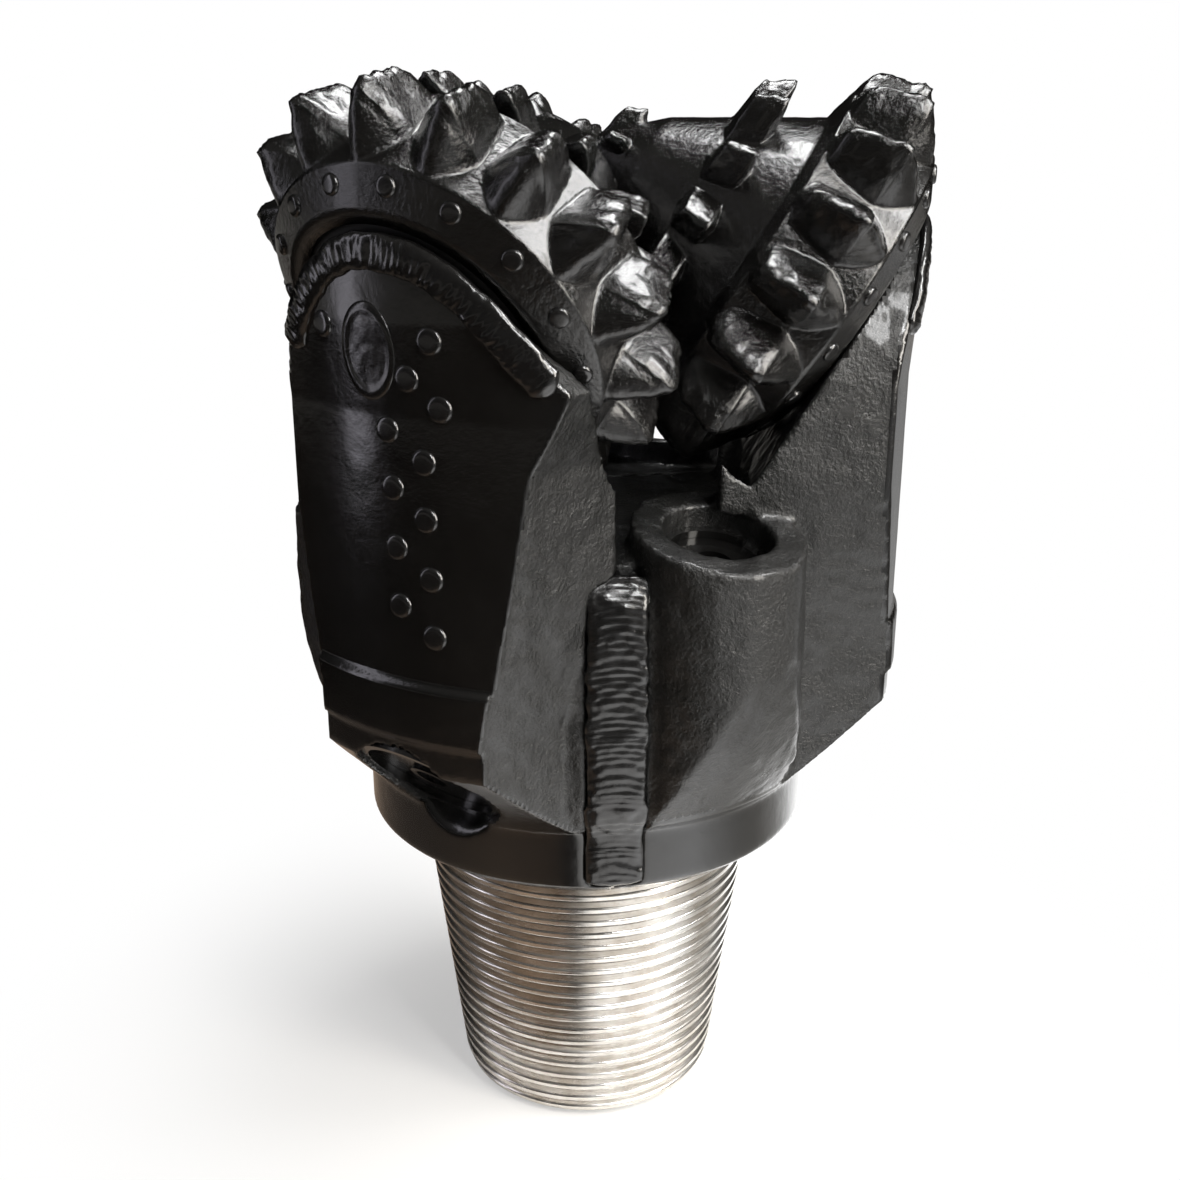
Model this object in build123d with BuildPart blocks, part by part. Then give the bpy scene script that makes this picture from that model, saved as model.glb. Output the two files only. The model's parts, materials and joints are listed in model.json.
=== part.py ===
"""Three-cone rotary drill bit, 8-1/2 in, steel (milled) teeth, 4-1/2 in regular tapered pin.

Frame: +Z runs along the bit's axis from the pin end to the cutting end, the origin is the centre
of the pin's end face, and leg 1 stands over +X.  Legs, cones and all that is on them repeat every
120 degrees.  Two local frames are used:
  leg frame      x outward along the leg's azimuth, y anticlockwise, z up
  journal frame  z outward along the journal's axis from where it crosses the bit's axis ("station"),
                 x towards the cutting side, so a revolved profile is a list of (radius, station)
"""
from build123d import *
import math
import os

# ---------------------------------------------------------------- driving dimensions, mm and degrees
legs = 3
bit_radius = 107.95            # gage of an 8-1/2 in hole
growth = bit_radius / 107.95   # cones, bearings and arms are stated for that hole and grow with it
slack = 4.0                    # how far a cut or a joined body runs on past a face

pin_length = 107.95            # end face to make-up shoulder
pin_large_radius = 58.74       # thread crests at the shoulder
pin_small_radius = 45.24       # thread crests at the end face
thread_depth = 2.4             # the turned blank stands this much inside the crests
pin_chamfer = 3.0
bore_radius = 28.6             # watercourse
spigot_height = 17.0           # the pin's spigot that the legs are welded round
shank_radius = 76.2
shank_height = 21.0            # shoulder to the foot of the slope
shoulder_bevel = 3.0

# heights above the make-up shoulder
throat_height = 97.0           # where the wall between the legs turns over into the crown
crown_height = 115.0
crown_rim_fall = 6.0
crown_corner = 10.0            # width of the corner between wall and crown
chamber_height = 64.0
weld_height = 106.0
nozzle_height = 113.5

throat_radius = 80.0
throat_foot = 8.0              # height of the slope from the shank up to the throat
crown_rim_radius = 60.0        # where the crown's flat cone starts
chamber_radius = 34.0          # plenum above the spigot
chamber_dome = 12.0

leg_lead_angle = 41.0          # joint line on the leg's anticlockwise side
weld_half_angle = 6.5
weld_depth = 9.0
weld_crown = 1.6

journal_angle = 33.0           # journal's fall from the horizontal, outward
crown_to_apex = 110.4 * growth # the journal's axis passes the bit's axis this far above the crown
cone_offset = 2.0              # and this far beside it, in the turning direction
leg_face_station = 100.0 * growth

pad_clearance = 4.65           # shirttail inside the gage
pad_top_rise = 1.9
pad_top_length = 22.0 * growth # thick end of the shirttail
pad_bend_drop = 71.4 * growth  # the shirttail starts to thicken this far below the apex
slope_height = 28.05
band_gap = 9.0                 # turned band at the pad's foot
band_width = 18.0
band_rise = 1.6
band_step = 1.5
hardfacing_height = 2.4
hardfacing_width = 8.0 * growth

# front outline of the arm: (across, drop below the apex), from its left foot round the arch
arm_front = [(-36, 101.4), (-36, 71.4), (-28.4, 44.4), (-4, 24.4), (22, 29.6), (40, 46.9), (54, 63.4),
             (43, 86.4), (35, 128.4)]
arm_back = [(-46, 101.4), (-46, 71.4), (-36.3, 44.4), (-4, 24.4), (22, 29.6), (40, 46.9), (59, 63.4),
            (52, 86.4), (53, 128.4)]
arm_front_foot = (-25, 29)
arm_back_foot = (-44, 47)
arm_back_place = 44.0 * growth # how far out the back outline lies
# inner edge of the hardfacing bead
bead_edge = [(-22.5, 47.4), (-3, 32.4), (16, 37.9), (30, 54.4), (37, 71.4), (45, 93.4)]
bead_foot_drop = 73.4

nozzle_angle = -52.0           # boss's azimuth in the leg frame
nozzle_lean = 13.0             # jet leans outward from the bit's axis
nozzle_centre_radius = 71.5
boss_radius = 26.5
boss_reach = 97.7              # outside of the boss, rounded in to the shank at its foot
boss_round_height = 71.0
boss_round_middle = (91.5, 27.0)
nozzle_mouth_radius = 16.8
nozzle_mouth_depth = 10.0
nozzle_radius = 15.0
nozzle_length = 26.0
nozzle_exit_radius = 5.6
nozzle_exit_length = 8.0
nozzle_inlet_radius = 10.0
nozzle_groove_depth = 2.2      # O-ring groove round the nozzle
nozzle_groove_place = 10.0
nozzle_groove_width = 4.0
jet_radius = 10.0
jet_inlet_radius = 12.0        # the jet's passage starts this far from the bit's axis
jet_inlet_drop = 22.0
seat_gap = 0.1                 # between pieces that are put together by hand

reservoir_tilt = 45.0          # its axis below the horizontal, square to the slope
reservoir_side = 2.0
reservoir_radius = 20.0
reservoir_depth = 46.0
reservoir_mouth_radius = 23.5
reservoir_mouth_depth = 12.0
reservoir_mouth_reach = 14.0
reservoir_wall = 2.0
canister_gap = 3.0             # room behind the canister's floor
canister_port_radius = 2.0
cap_thickness = 6.0
cap_rim_inner = 5.0            # raised ring round the cap's vent
cap_rim_outer = 7.0
cap_rim_height = 1.5
cap_vent_radius = 1.5
ring_wire = 1.2                # half the thickness of the retaining rings
ring_inset = 1.4
ring_lift = 1.3
diaphragm_depth = 26.0
diaphragm_skin = 3.0
grease_hole_radius = 2.5
grease_hole_back = 1.5         # it starts this far before the end of the reservoir's bore
grease_hole_rise = 9.5
grease_hole_top = 90.0 * growth

# bearing, as radii and stations in the journal frame
seal_land_radius = 33.0 * growth
gland_radius = 39.0 * growth
gland_station = 92.0 * growth
gland_step = 0.4
seal_radius = 2.9 * growth
roller_radius = 4.5 * growth
roller_length = 22.0 * growth
roller_station = 79.8 * growth
roller_end_gap = 0.3
roller_count = 22
race_radius = 28.0 * growth
race_gap = 0.07
ball_radius = 6.0 * growth
ball_gap = 0.08
ball_station = 60.5 * growth
ball_pitch_radius = 25.0 * growth
ball_count = 12
flange_gap = 0.4
flange_station = 54.0 * growth
nose_pin_radius = 13.4 * growth
nose_pin_station = 39.0 * growth
nose_pin_chamfer = 1.0
bushing_gap = 0.05
bushing_wall = 3.1 * growth
bushing_length = 12.0 * growth
washer_thickness = 2.5 * growth
washer_gap = 0.3
washer_bore_gap = 1.5
washer_outer_radius = 23.0 * growth
cone_back_gap = 0.8            # leg face to cone back
cone_end_gap = 1.0             # nose pin to the end of the cone's cavity
cone_room = 2.5                # round the gage row, in the leg
plug_radius = 6.4
plug_head_radius = 8.0
plug_head_depth = 8.0

# cones
gage_clearance = 1.0           # heel surface inside the gage
gage_root_radius = 53.5 * growth
gage_crest_start = 64.0 * growth   # stations of the gage row's crest
gage_crest_end = 82.0 * growth
gage_tip_start = 63.0 * growth
gage_tip_end = 70.0 * growth
gage_teeth = 16
gage_foot = 2.0 * growth       # how far the teeth reach into the shell
tooth_set_back = 0.4           # outer faces of the gage teeth stand inside the heel surface
tooth_crest = 6.5 * growth
tooth_flank = 17.0             # half angle between a tooth's flanks
tooth_run_out = 12.0 * growth  # a wedge is longer than the tooth cut from it by this at each end
tooth_root_depth = 8.0 * growth
heel_insert_radius = 3.6 * growth
heel_insert_ring = 49.2 * growth
heel_insert_length = 7.0 * growth
insert_stand = 0.6             # inserts stand proud of their surface
shell_slope = 0.649            # shell radius gained per mm of station
shell_start_radius = 5.8 * growth
shell_nose_slope = 0.95        # the noses keep clear of each other across the middle
nose_round = 60.0 * growth     # squared radius gained per mm behind the nose's tip
shell_end_station = 60.0 * growth
nose_steps = 4                 # points on the outline round the nose, then along the shell
shell_steps = 6
row_ramp = 0.8 * growth
row_root_depth = 1.5 * growth

# inner rows of each cone: first and last station, tip radius at the first, number of teeth
nose_stations = {1: 3.2, 2: 15.6, 3: 14.1}
inner_rows = {
    1: [(4.0, 13.5, 12.0, 5), (35.5, 47.5, 42.3, 12)],
    2: [(24.0, 36.5, 27.8, 9)],
    3: [(17.3, 27.5, 18.0, 7), (47.0, 59.5, 51.0, 14)],
}
row_rise = 0.55                # tip radius gained per mm along an inner row

# shirttail inserts: (across, drop below the apex)
insert_radius = 4.3
insert_length = 8.0
insert_places = [(-16, 48.4), (21, 50.4), (13.2, 60.8), (22.5, 68.4), (5.5, 75.4), (17, 83.4), (6.5, 91.4),
                 (17, 99.4), (7, 108.4), (18, 116.4), (7.5, 125.4), (18.5, 133.4)]

# ---------------------------------------------------------------- worked-out values
shoulder = pin_length
slope_foot = shoulder + shank_height
pad_slope_top = slope_foot + slope_height
band_bottom = pad_slope_top + band_gap
band_top = band_bottom + band_width
throat_top = shoulder + throat_height
crown_top = shoulder + crown_height
chamber_top = shoulder + chamber_height
weld_top = shoulder + weld_height
nozzle_face_height = shoulder + nozzle_height
apex_height = crown_top + crown_to_apex
pad_radius = bit_radius - pad_clearance
pad_top_radius = pad_radius + pad_top_rise
band_radius = pad_radius + band_rise
shirttail_top = apex_height - arm_front[3][1] * growth
race_pitch_radius = race_radius + race_gap + roller_radius
cone_race_radius = race_pitch_radius + roller_radius + race_gap
groove_radius = ball_radius + ball_gap
cone_back_station = leg_face_station - cone_back_gap
roller_shelf = roller_station - roller_length / 2 - roller_end_gap
flange_radius = ball_pitch_radius - flange_gap
cone_lip_radius = ball_pitch_radius + flange_gap
bushing_bore = nose_pin_radius + bushing_gap
bushing_radius = bushing_bore + bushing_wall
washer_station = flange_station - washer_gap - washer_thickness
journal_cos = math.cos(math.radians(journal_angle))
journal_sin = math.sin(math.radians(journal_angle))
leg_lag_angle = leg_lead_angle - 360 / legs
hole_height = apex_height - ball_station * journal_sin - ball_pitch_radius * journal_cos
hole_end = ball_station * journal_cos - ball_pitch_radius * journal_sin

outward = Vector(journal_cos, 0, -journal_sin)
cutting_side = Vector(journal_sin, 0, journal_cos)
apex = Vector(0, cone_offset, apex_height)
journal = Plane(origin=apex, x_dir=cutting_side, z_dir=outward)


def radial_plane(angle):
    """Upright plane through the bit's axis: local x outward at this azimuth, local y up."""
    turn = math.radians(angle)
    return Plane(origin=(0, 0, 0), x_dir=(math.cos(turn), math.sin(turn), 0),
                 z_dir=(math.sin(turn), -math.cos(turn), 0))


def heel_station(radius, inside=0.0):
    """Station on the cone's heel surface, which clears the gage circle all round."""
    reach = bit_radius - gage_clearance - inside
    return (reach - radius * journal_sin) / journal_cos


def heel_radius(station, inside=0.0):
    reach = bit_radius - gage_clearance - inside
    return (reach - station * journal_cos) / journal_sin


def ring(inner, outer, low, high):
    """A plain ring or disc about the local z axis."""
    with BuildPart() as body:
        with BuildSketch(Plane.XY.offset(low)):
            Circle(outer)
            if inner > 0:
                Circle(inner, mode=Mode.SUBTRACT)
        extrude(amount=high - low)
    return body.part


def lathe(points):
    """A closed (radius, height) outline turned about the local z axis."""
    with BuildPart() as body:
        with BuildSketch(Plane.XZ):
            with BuildLine():
                Polyline(*points, close=True)
            make_face()
        revolve(axis=Axis.Z)
    return body.part


def split_ring(radius, wire, height):
    """A round-wire retaining ring with a gap, lying in its groove."""
    with BuildPart() as body:
        with BuildSketch(radial_plane(15)):
            with Locations((radius, height)):
                Rectangle(2 * wire, 2 * wire)
        revolve(axis=Axis.Z, revolution_arc=330)
    return body.part


def save(part, name):
    part.label = name
    export_step(part, f"parts/{name}.step")


def save_on_leg(part, name, number):
    """Turn a piece of the leg frame round to its own leg and write it."""
    save(part.rotate(Axis.Z, 360 / legs * (number - 1)), f"{name}_{number}")


# ---------------------------------------------------------------- threaded pin
def make_pin():
    root_large = pin_large_radius - thread_depth
    root_small = pin_small_radius - thread_depth
    taper = (root_large - root_small) / pin_length
    return lathe([
        (bore_radius, 0),
        (root_small - pin_chamfer / 2, 0),
        (root_small + taper * pin_chamfer, pin_chamfer),
        (root_large, shoulder),
        (pin_large_radius, shoulder),
        (pin_large_radius, shoulder + spigot_height),
        (bore_radius, shoulder + spigot_height),
    ])


# ---------------------------------------------------------------- leg: forging with its journal
def on_arm(place):
    """A point of the arm's front view, from (across, drop below the apex)."""
    return place[0] * growth, apex_height - place[1] * growth


def arm_outline(plane, points, foot):
    """Front outline of the leg's arm: straight sides, an arch, and a trailing corner."""
    low = slope_foot - slack
    left, bend, shoulder_left, top, lead, arch_end, corner, waist, hip = [on_arm(p) for p in points]
    foot_left, foot_right = foot[0] * growth, foot[1] * growth
    with BuildSketch(plane) as outline:
        with BuildLine():
            side = Polyline((foot_left, low), (foot_left, band_bottom + band_width / 2), left, bend)
            arch = ThreePointArc(side @ 1, shoulder_left, top)
            fall = ThreePointArc(arch @ 1, lead, arch_end)
            Polyline(fall @ 1, corner, waist, hip, (foot_right, band_bottom), (foot_right, low), side @ 0)
        make_face()
    return outline.sketch.face()


def pad_outline(grow=0.0):
    """Turned outline of the body's outside, from the shank up the slope to the shirttail's tip."""
    end = shirttail_top + slack
    return [
        (0, slope_foot - slack),
        (shank_radius, slope_foot - slack),
        (shank_radius, slope_foot),
        (pad_radius, pad_slope_top),
        (pad_radius, band_bottom),
        (band_radius, band_bottom + band_step),
        (band_radius, band_top),
        (pad_radius + grow, band_top + band_step),
        (pad_radius + grow, apex_height - pad_bend_drop),
        (pad_top_radius + grow, shirttail_top - pad_top_length),
        (pad_top_radius + grow, end),
        (0, end),
    ]


def make_arm():
    with BuildPart() as arm:
        add(arm_outline(Plane.YZ.offset(bit_radius), arm_front, arm_front_foot))
        add(arm_outline(Plane.YZ.offset(arm_back_place), arm_back, arm_back_foot))
        loft(ruled=True)
        add(lathe(pad_outline()), mode=Mode.INTERSECT)
        add(make_sector(), mode=Mode.INTERSECT)
    return arm.part


def make_sector():
    """The share of the bit's round that one leg's forging fills."""
    with BuildPart() as sector:
        with BuildSketch(radial_plane(leg_lag_angle)):
            with BuildLine():
                Polyline((0, shoulder), (bit_radius, shoulder), (bit_radius, apex_height), (0, apex_height),
                         close=True)
            make_face()
        revolve(axis=Axis.Z, revolution_arc=360 / legs)
    return sector.part


def make_boss():
    """Upright boss round the nozzle, its foot on the slope and its face square to the jet."""
    face = nozzle_plane()
    with BuildPart() as boss:
        with BuildSketch(Plane.XY.offset(slope_foot - slack)):
            with Locations((face.origin.X, face.origin.Y)):
                Circle(boss_radius)
        extrude(amount=nozzle_face_height)
        split(bisect_by=face, keep=Keep.BOTTOM)
        add(make_boss_round(), mode=Mode.INTERSECT)
        add(make_sector(), mode=Mode.INTERSECT)
    return boss.part


def make_boss_round():
    """Turned body whose side curves from the shank out to the boss's full reach."""
    middle = (boss_round_middle[0], slope_foot + boss_round_middle[1])
    end = nozzle_face_height + boss_radius
    with BuildPart() as body:
        with BuildSketch(Plane.XZ):
            with BuildLine():
                side = ThreePointArc((shank_radius, slope_foot), middle,
                                     (boss_reach, slope_foot + boss_round_height))
                Polyline(side @ 1, (boss_reach, end), (0, end), (0, slope_foot - slack),
                         (shank_radius, slope_foot - slack), side @ 0)
            make_face()
        revolve(axis=Axis.Z)
    return body.part


def nozzle_plane():
    """Plane of the boss's face, its normal along the jet, in the leg frame."""
    turn = math.radians(nozzle_angle)
    lean = math.radians(nozzle_lean)
    out = Vector(math.cos(turn), math.sin(turn), 0)
    centre = out * nozzle_centre_radius + Vector(0, 0, nozzle_face_height)
    normal = out * math.sin(lean) + Vector(0, 0, math.cos(lean))
    return Plane(origin=centre, x_dir=(-out.Y, out.X, 0), z_dir=normal)


def reservoir_plane():
    """Plane of the reservoir's mouth on the slope, its normal outward and down."""
    fall = math.radians(reservoir_tilt)
    middle = (shank_radius + pad_radius) / 2
    height = (slope_foot + pad_slope_top) / 2
    return Plane(origin=(middle, reservoir_side, height), x_dir=(0, 1, 0),
                 z_dir=(math.cos(fall), 0, -math.sin(fall)))


def weld_section(grow):
    """Outline of the joint's weld between two legs, in an upright plane."""
    return [
        (throat_radius - weld_depth, shoulder + shoulder_bevel),
        (shank_radius + grow, shoulder + shoulder_bevel),
        (shank_radius + grow, slope_foot),
        (throat_radius + grow, slope_foot + throat_foot),
        (throat_radius + grow, throat_top),
        (throat_radius - weld_depth, weld_top),
    ]


def make_weld(start, arc, grow):
    with BuildPart() as weld:
        with BuildSketch(radial_plane(start)):
            with BuildLine():
                Polyline(*weld_section(grow), close=True)
            make_face()
        revolve(axis=Axis.Z, revolution_arc=arc)
    return weld.part


def journal_profile():
    return [
        (0, leg_face_station + slack),
        (seal_land_radius, leg_face_station + slack),
        (seal_land_radius, gland_station - gland_step),
        (race_radius, gland_station - gland_step),
        (race_radius, roller_shelf),
        (flange_radius, roller_shelf),
        (flange_radius, flange_station),
        (nose_pin_radius, flange_station),
        (nose_pin_radius, nose_pin_station + nose_pin_chamfer),
        (nose_pin_radius - nose_pin_chamfer, nose_pin_station),
        (0, nose_pin_station),
    ]


def ball_groove():
    with BuildPart() as groove:
        with BuildSketch(Plane.XZ):
            with Locations((ball_pitch_radius, ball_station)):
                Circle(groove_radius)
        revolve(axis=Axis.Z)
    return groove.part


def make_leg():
    nozzle_face = nozzle_plane()
    mouth = reservoir_plane()
    with BuildPart() as leg:
        with BuildSketch(radial_plane(leg_lag_angle)):
            with BuildLine():
                Polyline((chamber_radius, shoulder + spigot_height),
                         (pin_large_radius, shoulder + spigot_height),
                         (pin_large_radius, shoulder),
                         (shank_radius - shoulder_bevel, shoulder),
                         (shank_radius, shoulder + shoulder_bevel),
                         (shank_radius, slope_foot),
                         (throat_radius, slope_foot + throat_foot),
                         (throat_radius, throat_top),
                         (throat_radius - crown_corner, crown_top - 1.5 * crown_rim_fall),
                         (crown_rim_radius, crown_top - crown_rim_fall),
                         (0, crown_top),
                         (0, chamber_top + chamber_dome),
                         (chamber_radius - chamber_dome, chamber_top + chamber_dome / 2),
                         (chamber_radius, chamber_top - chamber_dome),
                         close=True)
            make_face()
        revolve(axis=Axis.Z, revolution_arc=360 / legs)
        add(make_boss())
        add(make_arm())
        # room for the turning cone, down to the machined face round the journal
        room = ring(0, gage_tip_end + cone_room, -leg_face_station / 3, leg_face_station)
        add(room.moved(journal.location), mode=Mode.SUBTRACT)
        add(lathe(journal_profile()).moved(journal.location))
        add(ball_groove().moved(journal.location), mode=Mode.SUBTRACT)
        # hole that the balls are loaded through
        with BuildSketch(Plane.YZ.offset(hole_end)):
            with Locations((cone_offset, hole_height)):
                Circle(plug_radius)
        extrude(amount=bit_radius - hole_end, mode=Mode.SUBTRACT)
        with BuildSketch(Plane.YZ.offset(pad_top_radius - plug_head_depth)):
            with Locations((cone_offset, hole_height)):
                Circle(plug_head_radius)
        extrude(amount=plug_head_depth, mode=Mode.SUBTRACT)
        # grease reservoir and its passage to the ball hole
        with BuildSketch(mouth.offset(reservoir_mouth_reach)):
            Circle(reservoir_mouth_radius)
        extrude(amount=-reservoir_mouth_reach - reservoir_mouth_depth, mode=Mode.SUBTRACT)
        with BuildSketch(mouth):
            Circle(reservoir_radius)
        extrude(amount=-reservoir_mouth_depth - reservoir_depth, mode=Mode.SUBTRACT)
        add(make_grease_hole(), mode=Mode.SUBTRACT)
        # nozzle pocket and the jet passage from the plenum
        with BuildSketch(nozzle_face):
            Circle(nozzle_mouth_radius)
        extrude(amount=-nozzle_mouth_depth, mode=Mode.SUBTRACT)
        with BuildSketch(nozzle_face.offset(-nozzle_mouth_depth)):
            Circle(nozzle_radius + seat_gap)
        extrude(amount=-nozzle_length, mode=Mode.SUBTRACT)
        add(make_jet(), mode=Mode.SUBTRACT)
        for start in (leg_lead_angle - weld_half_angle, leg_lag_angle - weld_half_angle):
            add(make_weld(start, 2 * weld_half_angle, weld_depth), mode=Mode.SUBTRACT)
        for place in insert_places:
            add(make_insert(place), mode=Mode.SUBTRACT)
    return leg.part


def make_jet():
    """Round passage from the plenum to the back of the nozzle."""
    nozzle_face = nozzle_plane()
    back = nozzle_face.origin - nozzle_face.z_dir * (nozzle_mouth_depth + nozzle_length - 1)
    turn = math.radians(nozzle_angle)
    inlet = Vector(math.cos(turn), math.sin(turn), 0) * jet_inlet_radius
    inlet += Vector(0, 0, chamber_top - jet_inlet_drop)
    way = back - inlet
    with BuildPart() as jet:
        with BuildSketch(Plane(origin=inlet, z_dir=way)):
            Circle(jet_radius)
        extrude(amount=way.length)
    return jet.part


def make_grease_hole():
    """Straight drilled passage from behind the canister, up inside the arm, to the ball hole."""
    mouth = reservoir_plane()
    back = reservoir_mouth_depth + reservoir_depth - grease_hole_back
    foot = mouth.origin - mouth.z_dir * back + Vector(1, 0, 1) * grease_hole_rise
    way = Vector(grease_hole_top, cone_offset, hole_height) - foot
    with BuildPart() as hole:
        with BuildSketch(Plane(origin=foot, z_dir=way)):
            Circle(grease_hole_radius)
        extrude(amount=way.length)
    return hole.part


def make_insert(place):
    """One flat-topped carbide insert, square to the shirttail at its place."""
    across, up = on_arm(place)
    turn = math.asin(across / pad_radius)
    out = Vector(math.cos(turn), math.sin(turn), 0)
    bend = apex_height - pad_bend_drop
    thick = min(1, max(0, up - bend) / (shirttail_top - pad_top_length - bend))
    surface = pad_radius + pad_top_rise * thick
    with BuildPart() as insert:
        with BuildSketch(Plane(origin=out * (surface - insert_length) + Vector(0, 0, up), z_dir=out)):
            Circle(insert_radius)
        extrude(amount=insert_length + insert_stand)
    return insert.part


def make_shirttail_inserts():
    with BuildPart() as inserts:
        for place in insert_places:
            add(make_insert(place))
    return inserts.part


def make_hardfacing():
    """Weld bead laid round the shirttail's arch, seated on the pad."""
    near = pad_radius * 2 / 3
    deep = bit_radius + slack - near
    shoulder_left, top, lead, arch_end, side, foot = [on_arm(place) for place in bead_edge]
    left = arm_front[1][0] * growth
    low = apex_height - arm_front[1][1] * growth
    with BuildPart() as bead:
        add(arm_outline(Plane.YZ.offset(near), arm_front, arm_front_foot))
        extrude(amount=deep, dir=(1, 0, 0))
        with BuildSketch(Plane.YZ.offset(near)):
            with BuildLine():
                edge = Polyline((left - bit_radius, foot[1]), (left - bit_radius, low),
                                (left + hardfacing_width, low))
                arch = ThreePointArc(edge @ 1, shoulder_left, top)
                fall = ThreePointArc(arch @ 1, lead, arch_end)
                Polyline(fall @ 1, side, foot, edge @ 0)
            make_face()
        extrude(amount=deep, mode=Mode.SUBTRACT)
        with BuildSketch(Plane.YZ.offset(near)):
            with Locations((0, apex_height - bead_foot_drop * growth)):
                Rectangle(2 * bit_radius, bit_radius, align=(Align.CENTER, Align.MAX))
        extrude(amount=deep, mode=Mode.SUBTRACT)
        add(lathe(pad_outline(hardfacing_height)), mode=Mode.INTERSECT)
        add(lathe(pad_outline()), mode=Mode.SUBTRACT)
    return bead.part


def make_ball_plug():
    """Plug that keeps the balls in, its inner end finished with the race, its head welded over."""
    with BuildPart() as plug:
        with BuildSketch(Plane.YZ.offset(hole_end)):
            with Locations((cone_offset, hole_height)):
                Circle(plug_radius)
        extrude(amount=pad_top_radius - plug_head_depth - hole_end)
        with BuildSketch(Plane.YZ.offset(pad_top_radius - plug_head_depth)):
            with Locations((cone_offset, hole_height)):
                Circle(plug_head_radius)
        extrude(amount=plug_head_depth)
        add(lathe(pad_outline()), mode=Mode.INTERSECT)
        add(ring(flange_radius, bit_radius, nose_pin_station, roller_shelf).moved(journal.location),
            mode=Mode.SUBTRACT)
        add(ring(race_radius, bit_radius, roller_shelf, gland_station - gland_step).moved(journal.location),
            mode=Mode.SUBTRACT)
        add(ball_groove().moved(journal.location), mode=Mode.SUBTRACT)
    return plug.part


# ---------------------------------------------------------------- cones
def shell_radius(station, nose):
    """Radius of the cone's steel between its rows of teeth."""
    line = min(shell_start_radius + shell_slope * station, shell_nose_slope * station)
    return min(line, math.sqrt(nose_round * (station - nose)))


def shell_outline(nose):
    """(radius, station) outline of the shell: nose, long cone, step, heel and back face."""
    near = nose + nose_round / shell_start_radius
    stations = [nose + (near - nose) * (step / nose_steps) ** 2 for step in range(1, nose_steps)]
    stations += [near + (shell_end_station - near) * step / shell_steps for step in range(shell_steps + 1)]
    return [(0, nose)] + [(shell_radius(station, nose), station) for station in stations] + [
        (gage_root_radius, gage_crest_start - gage_foot),
        (gage_root_radius, heel_station(gage_root_radius)),
        (heel_radius(cone_back_station), cone_back_station),
    ]


def cavity_outline():
    return [
        (gland_radius, cone_back_station),
        (gland_radius, gland_station),
        (cone_race_radius, gland_station),
        (cone_race_radius, roller_shelf),
        (cone_lip_radius, roller_shelf),
        (cone_lip_radius, washer_station),
        (bushing_radius, washer_station),
        (bushing_radius, nose_pin_station - cone_end_gap),
        (0, nose_pin_station - cone_end_gap),
    ]


def make_tooth(crest_start, crest_end, root):
    """One wedge along the crest line, longer and deeper than the tooth that is cut from it."""
    slope = math.atan2(crest_end[0] - crest_start[0], crest_end[1] - crest_start[1])
    along = Vector(math.sin(slope), 0, math.cos(slope))
    length = 2.5 * tooth_run_out + crest_end[1] - crest_start[1]
    depth = crest_end[0] - root + tooth_root_depth
    half_crest = tooth_crest / 2
    half_root = half_crest + depth * math.tan(math.radians(tooth_flank))
    with BuildPart() as tooth:
        with BuildSketch(Plane(origin=Vector(crest_start[0], 0, crest_start[1]) - along * tooth_run_out,
                               x_dir=(0, 1, 0), z_dir=along)):
            with BuildLine():
                Polyline((-half_crest, 0), (half_crest, 0), (half_root, depth), (-half_root, depth),
                         close=True)
            make_face()
        extrude(amount=length)
    return tooth.part


def make_row(crest_start, crest_end, count, root, outline):
    tooth = make_tooth(crest_start, crest_end, root)
    with BuildPart() as row:
        with PolarLocations(0, count):
            add(tooth)
        add(lathe(outline), mode=Mode.INTERSECT)
    return row.part


def make_cone(number):
    nose = nose_stations[number] * growth
    foot = gage_root_radius - gage_foot
    outer = gage_crest_end + cone_room
    with BuildPart() as cone:
        add(lathe(shell_outline(nose) + cavity_outline()))
        gage_outline = [
            (foot, gage_crest_start - gage_foot),
            (gage_tip_start, gage_crest_start),
            (gage_tip_end, gage_crest_end),
            (heel_radius(outer, tooth_set_back), outer),
            (foot, heel_station(foot, tooth_set_back) - gage_foot),
        ]
        add(make_row((gage_tip_start, gage_crest_start), (gage_tip_end, gage_crest_end), gage_teeth,
                     gage_root_radius, gage_outline))
        for first, last, tip, count in inner_rows[number]:
            first, last, tip = first * growth, last * growth, tip * growth
            far_tip = tip + row_rise * (last - first)
            root_first = shell_radius(first, nose) - row_root_depth
            root_last = shell_radius(last, nose) - row_root_depth
            row_outline = [(root_first, first), (tip, first + row_ramp), (far_tip, last - row_ramp),
                           (root_last, last)]
            add(make_row((tip, first), (far_tip, last), count, root_first, row_outline))
        add(ball_groove(), mode=Mode.SUBTRACT)
        add(make_heel_inserts(), mode=Mode.SUBTRACT)
    return cone.part


def make_heel_inserts():
    """Flat inserts set square into the heel surface, one under each gage tooth's gap."""
    station = heel_station(heel_insert_ring)
    square = Vector(journal_sin, 0, journal_cos)
    foot = Vector(heel_insert_ring, 0, station) - square * heel_insert_length
    with BuildPart() as one:
        with BuildSketch(Plane(origin=foot, x_dir=(0, 1, 0), z_dir=square)):
            Circle(heel_insert_radius)
        extrude(amount=heel_insert_length + insert_stand)
    with BuildPart() as inserts:
        with PolarLocations(0, gage_teeth, start_angle=180 / gage_teeth):
            add(one.part)
    return inserts.part


# ---------------------------------------------------------------- bearing pieces, journal frame
def make_rollers():
    with BuildPart() as rollers:
        with BuildSketch(Plane.XY.offset(roller_station - roller_length / 2)):
            with PolarLocations(race_pitch_radius, roller_count):
                Circle(roller_radius)
        extrude(amount=roller_length)
    return rollers.part


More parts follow.
